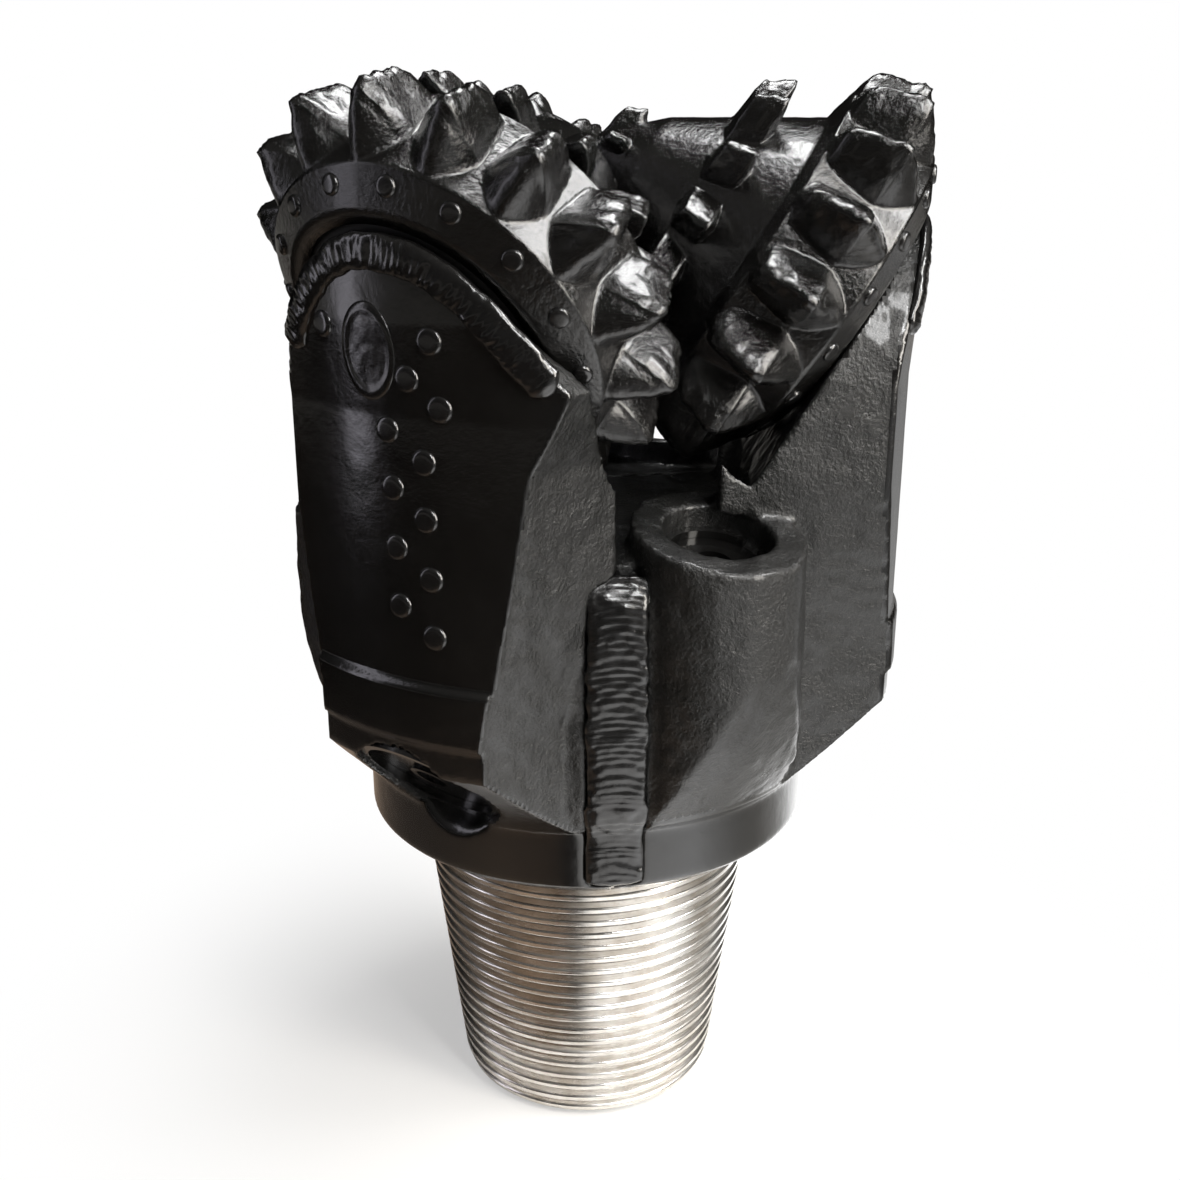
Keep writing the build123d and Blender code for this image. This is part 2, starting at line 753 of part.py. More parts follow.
def make_balls():
    with BuildPart() as balls:
        with BuildSketch(Plane.XZ) as half:
            with Locations((ball_pitch_radius, ball_station)):
                Circle(ball_radius)
                with Locations((-ball_radius, 0)):
                    Rectangle(2 * ball_radius, 2 * ball_radius, mode=Mode.SUBTRACT)
        revolve(axis=Axis((ball_pitch_radius, 0, 0), (0, 0, 1)))
    with BuildPart() as ball_set:
        with PolarLocations(0, ball_count):
            add(balls.part)
    return ball_set.part


def make_seal():
    with BuildPart() as seal:
        with BuildSketch(Plane.XZ):
            with Locations(((seal_land_radius + gland_radius) / 2, (gland_station + cone_back_station) / 2)):
                Circle(seal_radius)
        revolve(axis=Axis.Z)
    return seal.part


# ---------------------------------------------------------------- grease reservoir, mouth plane frame
def make_canister():
    floor = canister_gap - reservoir_mouth_depth - reservoir_depth
    with BuildPart() as can:
        add(ring(0, reservoir_radius - seat_gap, floor, -reservoir_mouth_depth - 2 * seat_gap))
        add(ring(0, reservoir_radius - reservoir_wall - seat_gap, floor + reservoir_wall,
                 -reservoir_mouth_depth), mode=Mode.SUBTRACT)
        add(ring(0, canister_port_radius, floor - slack, floor + slack), mode=Mode.SUBTRACT)
    return can.part


def make_diaphragm():
    """Rubber cup: a rim seated in the canister's mouth, a tapering wall and a closed end."""
    top = -reservoir_mouth_depth - 2 * seat_gap
    rim = reservoir_radius - reservoir_wall - 4 * seat_gap
    wall = rim - 1.5 * diaphragm_skin
    end = top - diaphragm_depth
    return lathe([(0, end), (wall - diaphragm_skin, end), (wall, top - 1.5 * diaphragm_skin),
                  (rim, top - diaphragm_skin), (rim, top), (wall, top),
                  (wall - 1.3 * diaphragm_skin, end + diaphragm_skin), (0, end + diaphragm_skin)])


def make_cap():
    low = -reservoir_mouth_depth
    top = low + cap_thickness
    with BuildPart() as cap:
        add(ring(0, reservoir_mouth_radius - seat_gap, low, top))
        add(ring(cap_rim_inner, cap_rim_outer, top, top + cap_rim_height))
        add(ring(0, cap_vent_radius, low, top), mode=Mode.SUBTRACT)
    return cap.part


def make_nozzle():
    top = -nozzle_mouth_depth
    low = top - nozzle_length + 2
    groove = low + nozzle_groove_place
    inside = nozzle_radius - nozzle_groove_depth
    return lathe([(nozzle_inlet_radius, low), (nozzle_radius, low),
                  (nozzle_radius, groove - nozzle_groove_width / 2),
                  (inside, groove - nozzle_groove_width / 2), (inside, groove + nozzle_groove_width / 2),
                  (nozzle_radius, groove + nozzle_groove_width / 2), (nozzle_radius, top),
                  (nozzle_exit_radius, top), (nozzle_exit_radius, top - nozzle_exit_length),
                  (nozzle_inlet_radius, low + 3)])


def make_o_ring():
    groove = 2 - nozzle_mouth_depth - nozzle_length + nozzle_groove_place
    half = nozzle_groove_width / 2 - 3 * seat_gap
    inside = nozzle_radius - nozzle_groove_depth + seat_gap
    return lathe([(inside, groove - half), (nozzle_radius, groove - half), (nozzle_radius, groove + half),
                  (inside, groove + half)])


os.makedirs("parts", exist_ok=True)
save(make_pin(), "threaded_pin")

leg = make_leg()
ball_plug = make_ball_plug()
shirttail_inserts = make_shirttail_inserts()
hardfacing = make_hardfacing()
seam_weld = make_weld(leg_lead_angle - weld_half_angle, 2 * weld_half_angle, weld_crown)
on_journal = {
    "roller_set": make_rollers(),
    "ball_set": make_balls(),
    "bearing_seal": make_seal(),
    "nose_bushing": ring(bushing_bore, bushing_radius, nose_pin_station, nose_pin_station + bushing_length),
    "thrust_washer": ring(nose_pin_radius + washer_bore_gap, washer_outer_radius, washer_station,
                          washer_station + washer_thickness),
    "heel_inserts": make_heel_inserts(),
}
in_reservoir = {
    "reservoir_canister": make_canister(),
    "reservoir_diaphragm": make_diaphragm(),
    "reservoir_cap": make_cap(),
    "reservoir_snap_ring": split_ring(reservoir_mouth_radius - ring_inset, ring_wire,
                                      cap_thickness - reservoir_mouth_depth + ring_lift),
}
in_nozzle = {
    "nozzle": make_nozzle(),
    "nozzle_o_ring": make_o_ring(),
    "nozzle_snap_ring": split_ring(nozzle_mouth_radius - ring_inset, ring_wire,
                                   ring_lift - nozzle_mouth_depth),
}

for number in range(1, legs + 1):
    save_on_leg(leg, "leg", number)
    save_on_leg(ball_plug, "ball_plug", number)
    save_on_leg(shirttail_inserts, "shirttail_inserts", number)
    save_on_leg(hardfacing, "shirttail_hardfacing", number)
    save_on_leg(seam_weld, "seam_weld", number)
    save_on_leg(make_cone(number).moved(journal.location), "cone", number)
    for name, part in on_journal.items():
        save_on_leg(part.moved(journal.location), name, number)
    for name, part in in_reservoir.items():
        save_on_leg(part.moved(reservoir_plane().location), name, number)
    for name, part in in_nozzle.items():
        save_on_leg(part.moved(nozzle_plane().location), name, number)
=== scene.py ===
"""Looks for a rolling-cone rotary drill bit: black enamelled forgings and cones over a bare turned pin.

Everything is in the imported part's own frame and in metres, with +Z from the pin end to the cones.
Sizes written in the sections are millimetres and are turned to metres where a mesh is made.
"""
import json

import bmesh
import bpy
import numpy as np
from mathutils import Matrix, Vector


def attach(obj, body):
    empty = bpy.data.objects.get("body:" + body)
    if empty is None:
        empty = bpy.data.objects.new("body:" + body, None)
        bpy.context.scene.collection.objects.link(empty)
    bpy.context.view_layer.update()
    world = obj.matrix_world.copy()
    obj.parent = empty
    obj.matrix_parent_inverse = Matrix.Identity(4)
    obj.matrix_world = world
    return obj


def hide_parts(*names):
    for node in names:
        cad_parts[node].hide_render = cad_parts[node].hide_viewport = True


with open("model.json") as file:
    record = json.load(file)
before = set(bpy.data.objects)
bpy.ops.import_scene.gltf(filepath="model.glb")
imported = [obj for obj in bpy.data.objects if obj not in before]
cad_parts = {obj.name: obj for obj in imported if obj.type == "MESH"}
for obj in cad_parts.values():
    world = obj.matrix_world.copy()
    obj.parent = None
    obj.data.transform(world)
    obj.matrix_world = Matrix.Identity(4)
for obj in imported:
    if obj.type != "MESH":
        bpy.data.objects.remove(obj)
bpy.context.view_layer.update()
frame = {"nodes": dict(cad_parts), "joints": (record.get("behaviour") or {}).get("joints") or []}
scene = bpy.context.scene
nodes = frame["nodes"]
LEGS = (1, 2, 3)
MM = 0.001

# ------------------------------------------------------------------ camera, floor and light
# A hand-held view from a little above the cones, looking down on the bit as it stands on its pin.
# The camera is half a metre away, so the pin narrows in the view as it does to the eye.
eye = Vector((38.2, -469.2, 339.1)) * MM
aim = Vector((0, 0, 183)) * MM
camera = bpy.data.objects.new("camera", bpy.data.cameras.new("camera"))
camera.location = eye
camera.rotation_euler = (aim - eye).to_track_quat("-Z", "Y").to_euler()
camera.data.sensor_width = 36
camera.data.lens = 43.78
camera.data.shift_x = 0.0025
camera.data.clip_start = 0.01
scene.collection.objects.link(camera)
scene.camera = camera
scene.view_settings.view_transform = "Standard"


def linear(colour):
    """Linear RGBA from an sRGB hex colour: above 0.04045 a channel c becomes ((c + 0.055) / 1.055) to the
    power 2.4, and below it c / 12.92."""
    c = np.array([int(colour[i:i + 2], 16) for i in (1, 3, 5)]) / 255
    c = np.where(c > 0.04045, ((c + 0.055) / 1.055) ** 2.4, c / 12.92)
    return (*c, 1.0)


def put(tree, kind, inputs=None, **settings):
    """Adds a node; each input is a value or another node's output socket."""
    made = tree.nodes.new(kind)
    for name, value in settings.items():
        setattr(made, name, value)
    for name, value in (inputs or {}).items():
        socket = made.inputs[name]
        if isinstance(value, bpy.types.NodeSocket):
            tree.links.new(value, socket)
        else:
            socket.default_value = value
    return made


def new_material(name):
    """An empty material, its node tree and its output node."""
    made = bpy.data.materials.new(name)
    made.use_nodes = True
    made.node_tree.nodes.clear()
    return made, made.node_tree, made.node_tree.nodes.new("ShaderNodeOutputMaterial")


# Pale painted floor: it takes the bit's soft shadow close by and turns plain white to the eye further out.
floor_half = 3.0
shadow_near, shadow_far = 0.05, 0.24
floor_mesh = bpy.data.meshes.new("floor")
floor_corners = [(-floor_half, -floor_half, 0), (floor_half, -floor_half, 0), (floor_half, floor_half, 0),
                 (-floor_half, floor_half, 0)]
floor_mesh.from_pydata(floor_corners, [], [(0, 1, 2, 3)])
floor = bpy.data.objects.new("floor", floor_mesh)
scene.collection.objects.link(floor)
pale_floor, tree, output = new_material("pale_floor")
floor_paint = put(tree, "ShaderNodeBsdfDiffuse", {"Color": linear("#f1efec")})
floor_place = put(tree, "ShaderNodeTexCoord")
away = put(tree, "ShaderNodeVectorMath", {0: floor_place.outputs["Object"]}, operation="LENGTH")
fading = put(tree, "ShaderNodeMapRange", {
    "Value": away.outputs["Value"], "From Min": shadow_near, "From Max": shadow_far, "To Min": 0.45,
    "To Max": 1.0}, interpolation_type="SMOOTHSTEP")
eyes = put(tree, "ShaderNodeLightPath")
seen = put(tree, "ShaderNodeMath", {0: eyes.outputs["Is Camera Ray"], 1: fading.outputs[0]},
           operation="MULTIPLY")
plain_white = put(tree, "ShaderNodeEmission", {"Color": linear("#ffffff"), "Strength": 1.0})
floor_mix = put(tree, "ShaderNodeMixShader", {0: seen.outputs[0], 1: floor_paint.outputs[0],
                                              2: plain_white.outputs[0]})
tree.links.new(floor_mix.outputs[0], output.inputs["Surface"])
floor_mesh.materials.append(pale_floor)

# World: white where the camera looks past the floor; to all else a dark room, lighter in front, with a high
# window at the right.
world = bpy.data.worlds.new("room")
scene.world = world
world.use_nodes = True
tree = world.node_tree
tree.nodes.clear()
path = put(tree, "ShaderNodeLightPath")
ray = put(tree, "ShaderNodeTexCoord")
split = put(tree, "ShaderNodeSeparateXYZ", {0: ray.outputs["Generated"]})
ceiling = put(tree, "ShaderNodeMapRange", {
    "Value": split.outputs["Z"], "From Min": 0.0, "From Max": 0.9, "To Min": 0.02, "To Max": 0.20})
rightward = put(tree, "ShaderNodeMapRange", {
    "Value": split.outputs["X"], "From Min": 0.1, "From Max": 0.6, "To Min": 0.0, "To Max": 0.8},
    interpolation_type="SMOOTHSTEP")
upward = put(tree, "ShaderNodeMapRange", {
    "Value": split.outputs["Z"], "From Min": 0.1, "From Max": 0.5, "To Min": 0.0, "To Max": 1.0},
    interpolation_type="SMOOTHSTEP")
forward = put(tree, "ShaderNodeMapRange", {
    "Value": split.outputs["Y"], "From Min": -0.1, "From Max": 0.5, "To Min": 1.0, "To Max": 0.15})
window = put(tree, "ShaderNodeMath", {0: rightward.outputs[0], 1: upward.outputs[0]}, operation="MULTIPLY")
lit = put(tree, "ShaderNodeMath", {0: ceiling.outputs[0], 1: window.outputs[0]}, operation="ADD")
strength = put(tree, "ShaderNodeMath", {0: lit.outputs[0], 1: forward.outputs[0]}, operation="MULTIPLY")
room = put(tree, "ShaderNodeBackground", {"Color": linear("#f2efe9"), "Strength": strength.outputs[0]})
white = put(tree, "ShaderNodeBackground", {"Color": linear("#ffffff"), "Strength": 1.0})
mixed = put(tree, "ShaderNodeMixShader", {0: path.outputs["Is Camera Ray"], 1: room.outputs[0],
                                          2: white.outputs[0]})
put(tree, "ShaderNodeOutputWorld", {"Surface": mixed.outputs[0]})

# Reflection card: a paper ring laid round the bit, brown at the left, white at the right, with a black strip
# between, and dimmer past half a metre.  Only reflections see it: the bare pin takes its tones from the ring
# close by, and the enamel, which looks further out, stays black at the left and turns grey at the right.
card_inner, card_outer = 0.085, 1.6
card_sides = 72
card_lift = 0.0006
card_stops = [(0.0, "#6f655c"), (0.22, "#a8927f"), (0.42, "#8b7767"), (0.46, "#2a2826"), (0.50, "#33302e"),
              (0.55, "#e6e4e1"), (0.90, "#ffffff"), (1.0, "#8d8b87")]
turn = np.linspace(0, 2 * np.pi, card_sides, endpoint=False)
card_points = [(r * np.cos(t), r * np.sin(t), card_lift) for r in (card_inner, card_outer) for t in turn]
card_faces = [(i, card_sides + i, card_sides + (i + 1) % card_sides, (i + 1) % card_sides)
              for i in range(card_sides)]
card_mesh = bpy.data.meshes.new("reflection_card")
card_mesh.from_pydata(card_points, [], card_faces)
card = bpy.data.objects.new("reflection_card", card_mesh)
card.visible_camera = False
card.visible_diffuse = False
card.visible_shadow = False
card.visible_transmission = False
scene.collection.objects.link(card)
wrapping_paper, tree, output = new_material("wrapping_paper")
card_place = put(tree, "ShaderNodeTexCoord")
card_way = put(tree, "ShaderNodeVectorMath", {0: card_place.outputs["Object"]}, operation="NORMALIZE")
card_split = put(tree, "ShaderNodeSeparateXYZ", {0: card_way.outputs["Vector"]})
card_side = put(tree, "ShaderNodeMapRange", {
    "Value": card_split.outputs["X"], "From Min": -1.0, "From Max": 1.0, "To Min": 0.0, "To Max": 1.0})
card_tone = put(tree, "ShaderNodeValToRGB", {0: card_side.outputs[0]})
for place, _ in card_stops[1:-1]:
    card_tone.color_ramp.elements.new(place)
for stop, (place, colour) in zip(card_tone.color_ramp.elements, card_stops):
    stop.position = place
    stop.color = linear(colour)
card_run = put(tree, "ShaderNodeVectorMath", {0: card_place.outputs["Object"]}, operation="LENGTH")
card_near = put(tree, "ShaderNodeMapRange", {
    "Value": card_split.outputs["X"], "From Min": 0.0, "From Max": 0.2, "To Min": 1.0, "To Max": 2.2})
card_far = put(tree, "ShaderNodeMapRange", {
    "Value": card_split.outputs["X"], "From Min": 0.1, "From Max": 0.7, "To Min": 0.08, "To Max": 0.55})
card_glow = put(tree, "ShaderNodeMapRange", {
    "Value": card_run.outputs["Value"], "From Min": 0.30, "From Max": 0.50, "To Min": card_near.outputs[0],
    "To Max": card_far.outputs[0]}, interpolation_type="SMOOTHSTEP")
paper = put(tree, "ShaderNodeEmission", {"Color": card_tone.outputs["Color"],
                                         "Strength": card_glow.outputs[0]})
tree.links.new(paper.outputs[0], output.inputs["Surface"])
card_mesh.materials.append(wrapping_paper)

# Five soft panels, each given by its place and size in metres, its power in watts and its colour: a tall key,
# a high rim and a front strip at the right, a low fill at the left, and one overhead behind.
panels = {
    "key": ((0.80, -0.50, 0.55), (0.30, 0.8), 11.0, "#fffaf2"),
    "fill": ((-0.95, -0.25, 0.45), (0.2, 0.9), 1.2, "#f6f3ff"),
    "top": ((0.10, 0.15, 0.98), (0.30, 0.25), 5.0, "#ffffff"),
    "rim": ((0.72, -0.14, 0.88), (0.30, 0.30), 6.0, "#ffffff"),
    "strip": ((0.36, -0.58, 0.80), (0.12, 0.42), 4.0, "#ffffff"),
}
panel_aim = Vector((0, 0, 0.2))
for name, (place, size, power, colour) in panels.items():
    lamp = bpy.data.lights.new(name, "AREA")
    lamp.shape = "RECTANGLE"
    lamp.size, lamp.size_y = size
    lamp.energy = power
    lamp.color = linear(colour)[:3]
    holder = bpy.data.objects.new(name, lamp)
    holder.location = place
    holder.rotation_euler = (panel_aim - holder.location).to_track_quat("-Z", "Y").to_euler()
    scene.collection.objects.link(holder)

# ------------------------------------------------------------------ threaded pin
# Tapered connection pin, turned from the forged legs' alloy steel after welding and left bare.
# The thread is cut in one start, five to the inch, so its ridges climb a right-handed helix.
pin_length = 107.95
crest_end, crest_shoulder = 45.24, 58.74
thread_pitch = 5.08
thread_height = 2.9
crest_flat = 0.34                    # shares of the pitch
root_flat = 0.10
run_out = 5.0                        # the thread deepens and dies away over this length
thread_start, thread_stop = 2.0, 3.5
relief = 2.0                         # groove under the shoulder, below the crests
lead_in = 1.2                        # the end's bevel, below the crests
bore = 28.6
spigot_top = 124.95
spigot = 58.74
thread_rows, pin_columns = 300, 224


def surface(name, grid, body, material, stands_for=(), caps=True):
    """A closed piece from a grid of points in mm, rows by columns, the columns going right round; a grid with
    one more axis in front makes several such shells in one mesh.

    Neighbouring points make quads; the first and last rows are closed by a pole at their middle, or,
    without caps, joined to each other.  The order of each quad is turned so that the first shell's volume
    about its own middle, a sixth of the sum of the triangles' triple products, comes out positive.
    """
    grid = grid[None] if grid.ndim == 3 else grid
    copies, rows, columns = grid.shape[:3]
    points = grid.reshape(copies, -1, 3) * MM
    i, j = np.meshgrid(np.arange(rows - 1 if caps else rows), np.arange(columns), indexing="ij")
    i, j = i.ravel(), j.ravel()
    below, right = (i + 1) % rows, (j + 1) % columns
    quads = np.stack([i * columns + j, below * columns + j, below * columns + right, i * columns + right], 1)
    groups = [quads]
    corner = (points[0] - points[0].mean(0))[quads]
    if caps:
        ends = points[:, :columns].mean(1, keepdims=True), points[:, -columns:].mean(1, keepdims=True)
        points = np.concatenate([points, *ends], 1)
        ring = np.arange(columns)
        next_ring = (ring + 1) % columns
        first, last = rows * columns, rows * columns + 1
        last_row = (rows - 1) * columns
        groups.append(np.stack([np.full(columns, first), ring, next_ring], 1))
        groups.append(np.stack([last_row + ring, np.full(columns, last), last_row + next_ring], 1))
    volume = np.einsum("ij,ij->", np.cross(corner[:, 0], corner[:, 1]), corner[:, 2])
    volume += np.einsum("ij,ij->", np.cross(corner[:, 0], corner[:, 2]), corner[:, 3])
    if volume < 0:
        groups = [faces[:, ::-1] for faces in groups]
    starts = np.arange(copies)[:, None, None] * points.shape[1]
    groups = [(faces + starts).reshape(-1, faces.shape[1]).tolist() for faces in groups]
    mesh = bpy.data.meshes.new(name)
    mesh.from_pydata(points.reshape(-1, 3).tolist(), [], sum(groups, []))
    mesh.validate()
    mesh.polygons.foreach_set("use_smooth", np.ones(len(mesh.polygons), bool))
    mesh.materials.append(material)
    piece = bpy.data.objects.new(name, mesh)
    scene.collection.objects.link(piece)
    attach(piece, body)
    if stands_for:
        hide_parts(*stands_for)


def thread_ridge(turns):
    """Height of the thread, 0 to 1, at a distance in turns: straight flanks between a crest and a root flat,
    about a third eased by the cubic 3t^2 - 2t^3."""
    place = np.abs((turns + 0.5) % 1 - 0.5) * 2
    ridge = np.clip((1 - root_flat - place) / (1 - root_flat - crest_flat), 0, 1)
    return ridge * ridge * (3 - 2 * ridge) * 0.35 + ridge * 0.65


def hoop(r, z, angles):
    """One row of points round the bit's axis at a radius and height."""
    return np.stack([r * np.cos(angles), r * np.sin(angles), np.full(angles.shape, float(z))], 1)


# Bare alloy steel off the lathe: bright, with streaks that follow the tool and faint stains from handling.
turned_steel, tree, output = new_material("turned_steel")
place = put(tree, "ShaderNodeTexCoord").outputs["Object"]
stain = put(tree, "ShaderNodeTexNoise", {"Vector": place, "Scale": 60.0, "Detail": 7.0, "Roughness": 0.7})
# tool marks 1.1 mm high and some 33 mm long, coarser than the real 0.2 mm so that they show
stretch = put(tree, "ShaderNodeMapping", {"Vector": place, "Scale": (30.0, 30.0, 900.0)})
streak = put(tree, "ShaderNodeTexNoise", {"Vector": stretch.outputs[0], "Scale": 1.0, "Detail": 3.0})
tone = put(tree, "ShaderNodeValToRGB", {0: stain.outputs["Fac"]})
for stop, (share, colour) in zip(tone.color_ramp.elements, [(0.32, "#c4beb6"), (0.62, "#e3e1de")]):
    stop.position = share
    stop.color = linear(colour)
rough = put(tree, "ShaderNodeMapRange", {
    "Value": streak.outputs["Fac"], "From Min": 0.3, "From Max": 0.7, "To Min": 0.16, "To Max": 0.34})
bump = put(tree, "ShaderNodeBump", {"Strength": 0.35, "Distance": 0.0002, "Height": streak.outputs["Fac"]})
steel = put(tree, "ShaderNodeBsdfPrincipled", {
    "Base Color": tone.outputs[0], "Metallic": 1.0, "Roughness": rough.outputs[0], "Normal": bump.outputs[0]})
tree.links.new(steel.outputs[0], output.inputs["Surface"])

around = np.linspace(0, 2 * np.pi, pin_columns, endpoint=False)
h, a = np.meshgrid(np.linspace(3.0, pin_length - 0.6, thread_rows), around, indexing="ij")
crest = crest_end + (crest_shoulder - crest_end) * h / pin_length
full = np.clip((h - thread_start) / run_out, 0, 1) * np.clip((pin_length - thread_stop - h) / run_out, 0, 1)
ridge = thread_ridge(h / thread_pitch - a / (2 * np.pi))
end_cut = np.where(h > pin_length / 2, relief, lead_in)
radius = crest - thread_height * (1 - ridge) * full - end_cut * (1 - full)
thread = np.stack([radius * np.cos(a), radius * np.sin(a), h], 2)
foot = [(bore, spigot_top), (bore, 60), (bore, 1.0), (bore + 1.0, 0), (36, 0), (crest_end - 4.4, 0),
        (crest_end - 2.4, 1.6)]
head = [(crest_shoulder - 2.4, pin_length), (spigot, pin_length), (spigot, spigot_top)]
outline = np.stack([*(hoop(r, z, around) for r, z in foot), *thread, *(hoop(r, z, around) for r, z in head)])
surface("turned_pin", outline, "bit_body", turned_steel, ["threaded_pin"], caps=False)

# ------------------------------------------------------------------ cones
# Three forged steel cones, their teeth milled from the solid and then hardfaced: tungsten carbide grit
# laid on in weld metal, which sets in lumps.  Everything is dipped and sprayed in gloss black enamel.
# Each turns on its own journal, 33 degrees down, so the rows of one run in the grooves of the next.
reach = 106.95                       # the heel surface just clears the hole's wall
shell_end, gage_start = 60.0, 62.0   # stations along the journal, from the apex
gage_root, gage_low, gage_high = 53.5, 63.0, 70.0
gage_rise, gage_first, gage_last = 61.5, 64.0, 82.0
cone_back = 99.2
tooth_count = 16
noses = {1: 3.2, 2: 15.6, 3: 14.1}
# inner rows of each cone: first and last station, crest radius at the first, and the number of teeth
rows_of = {
    1: [(4.0, 13.5, 12.0, 5), (35.5, 47.5, 42.3, 12)],
    2: [(24.0, 36.5, 27.8, 9)],
    3: [(17.3, 27.5, 18.0, 7), (47.0, 59.5, 51.0, 14)],
}
row_slope = 0.55                     # how fast an inner row's crest widens along the journal
gage_nose, gage_flank = 2.6, 33      # half width of a gage tooth's nose, and its flanks' angle in degrees
row_flank = 29
# radii and stations of the bearing's cavity: the seal's and rollers' bores, the ball race and the nose bore
cavity = [(39.0, 99.2), (39.0, 92.0), (37.14, 92.0), (37.14, 68.5), (25.4, 68.5), (25.6, 66.55), (28.2, 65.7),
          (30.3, 63.6), (31.08, 60.5), (30.3, 57.4), (28.2, 55.3), (25.4, 54.4), (25.4, 51.2), (16.55, 51.2),
          (16.55, 38.0), (8.0, 38.0)]
cone_samples, cone_rows, cone_columns = 2400, 176, 432
spin = {joint["name"]: joint for joint in frame["joints"]}


def journal(k):
    """Leg k's journal: its apex in mm, its axis outwards, the level line square to that, and the line square
    to both."""
    joint = spin[f"cone_spin_{k}"]
    outward = np.array(joint["axis"])
    level = np.cross(outward, (0, 0, 1))
    level /= np.linalg.norm(level)
    return np.array(joint["pos_m"]) / MM, outward, level, np.cross(level, outward)


def smooth(t):
    """The cubic 3t^2 - 2t^3 of t held between 0 and 1."""
    t = np.clip(t, 0, 1)
    return t * t * (3 - 2 * t)


def lattice(points, seed):
    """Smooth noise, 0 to 1, over points in lattice units: a hash of the eight whole-number corners round
    each point, blended with the cubic 3t^2 - 2t^3 along each axis."""
    base = np.floor(points)
    t = points - base
    t = t * t * (3 - 2 * t)
    base = base.astype(np.int64)
    total = np.zeros(points.shape[:-1])
    for step in np.ndindex(2, 2, 2):
        n = np.bitwise_xor.reduce((base + step) * (73856093, 19349663, 83492791), -1)
        n = (n + seed * 2654435761) & 0xFFFFFFFF
        n = ((n ^ (n >> 15)) * 0x2C1B3C6D) & 0xFFFFFFFF
        n = ((n ^ (n >> 12)) * 0x297A2D39) & 0xFFFFFFFF
        total += np.where(step, t, 1 - t).prod(-1) * ((n ^ (n >> 15)) & 0xFFFF) / 65535
    return total


def lumps(points, size, seed):
    """Beads of weld metal, -1 to 1: three sizes of noise folded about their middle, so that they are round on
    top and creased between."""
    folded = [1 - 2 * np.abs(2 * lattice(points / size * finer, seed + shift) - 1)
              for finer, shift in ((1, 0), (2.3, 7), (4.6, 13))]
    return 0.52 * folded[0] + 0.30 * folded[1] + 0.18 * folded[2]


fall = np.arcsin(-journal(1)[1][2])


def heel(station, inside=0.0):
    """Radius of the heel surface at a station: what is left of the reach, over the sine of the fall."""
    return (reach - inside - station * np.cos(fall)) / np.sin(fall)


def shell(station, nose):
    """Radius of the bare cone: the least of a long cone, a nose cone and a rounded tip."""
    line = np.minimum(5.8 + 0.649 * station, 0.95 * station)
    return np.minimum(line, np.sqrt(np.maximum(60 * (station - nose), 0)))


def bare_cone(station, nose):
    """Radius of the cone without teeth: the shell, a short step, and the gage row's root, cut by the heel."""
    lip = shell(shell_end, nose)
    step = lip + (station - shell_end) / (gage_start - shell_end) * (gage_root - lip)
    body = np.where(station < shell_end, shell(station, nose), step)
    return np.where(station < gage_start, body, np.minimum(gage_root, heel(station)))


def gage_line(station, bare):
    """Radius of the gage teeth's crests: a steep rise, a straight line and the heel, with both corners worn
    down by a bell curve."""
    line = gage_low + (station - gage_first) * (gage_high - gage_low) / (gage_last - gage_first)
    line = np.where(station < gage_last, line, heel(station, 0.4))
    rise = gage_root + (station - gage_rise) / (gage_first - gage_rise) * (gage_low - gage_root)
    line = np.where(station < gage_first, rise, line)
    line = np.where((station < gage_rise) | (line < bare), bare, line)
    worn = 1.6 * np.exp(-((station - 82.2) / 2.2) ** 2) + 1.4 * np.exp(-((station - 63.6) / 1.8) ** 2)
    return np.maximum(line - worn, bare)


def row_line(station, bare, first, last, tip):
    """Radius of an inner row's crests: straight from the tip's radius, eased into the shell at its ends."""
    ends = smooth((station - first + 0.3) / 2.2) * smooth((last + 0.3 - station) / 2.2)
    line = bare + (tip + row_slope * (station - first) - bare) * ends ** 0.6
    return np.where((station > first - 0.3) & (station < last + 0.3), line, bare)


def row_share(across, height, nose, flank):
    """How much of a tooth's height stands at a distance across from its middle line: straight flanks that
    fall away from a hyperbola's round nose, whose half width is given."""
    back = np.sqrt(across ** 2 + nose ** 2) - nose
    return np.clip(1 - back / np.maximum(height * np.tan(flank), 0.5), 0, 1)


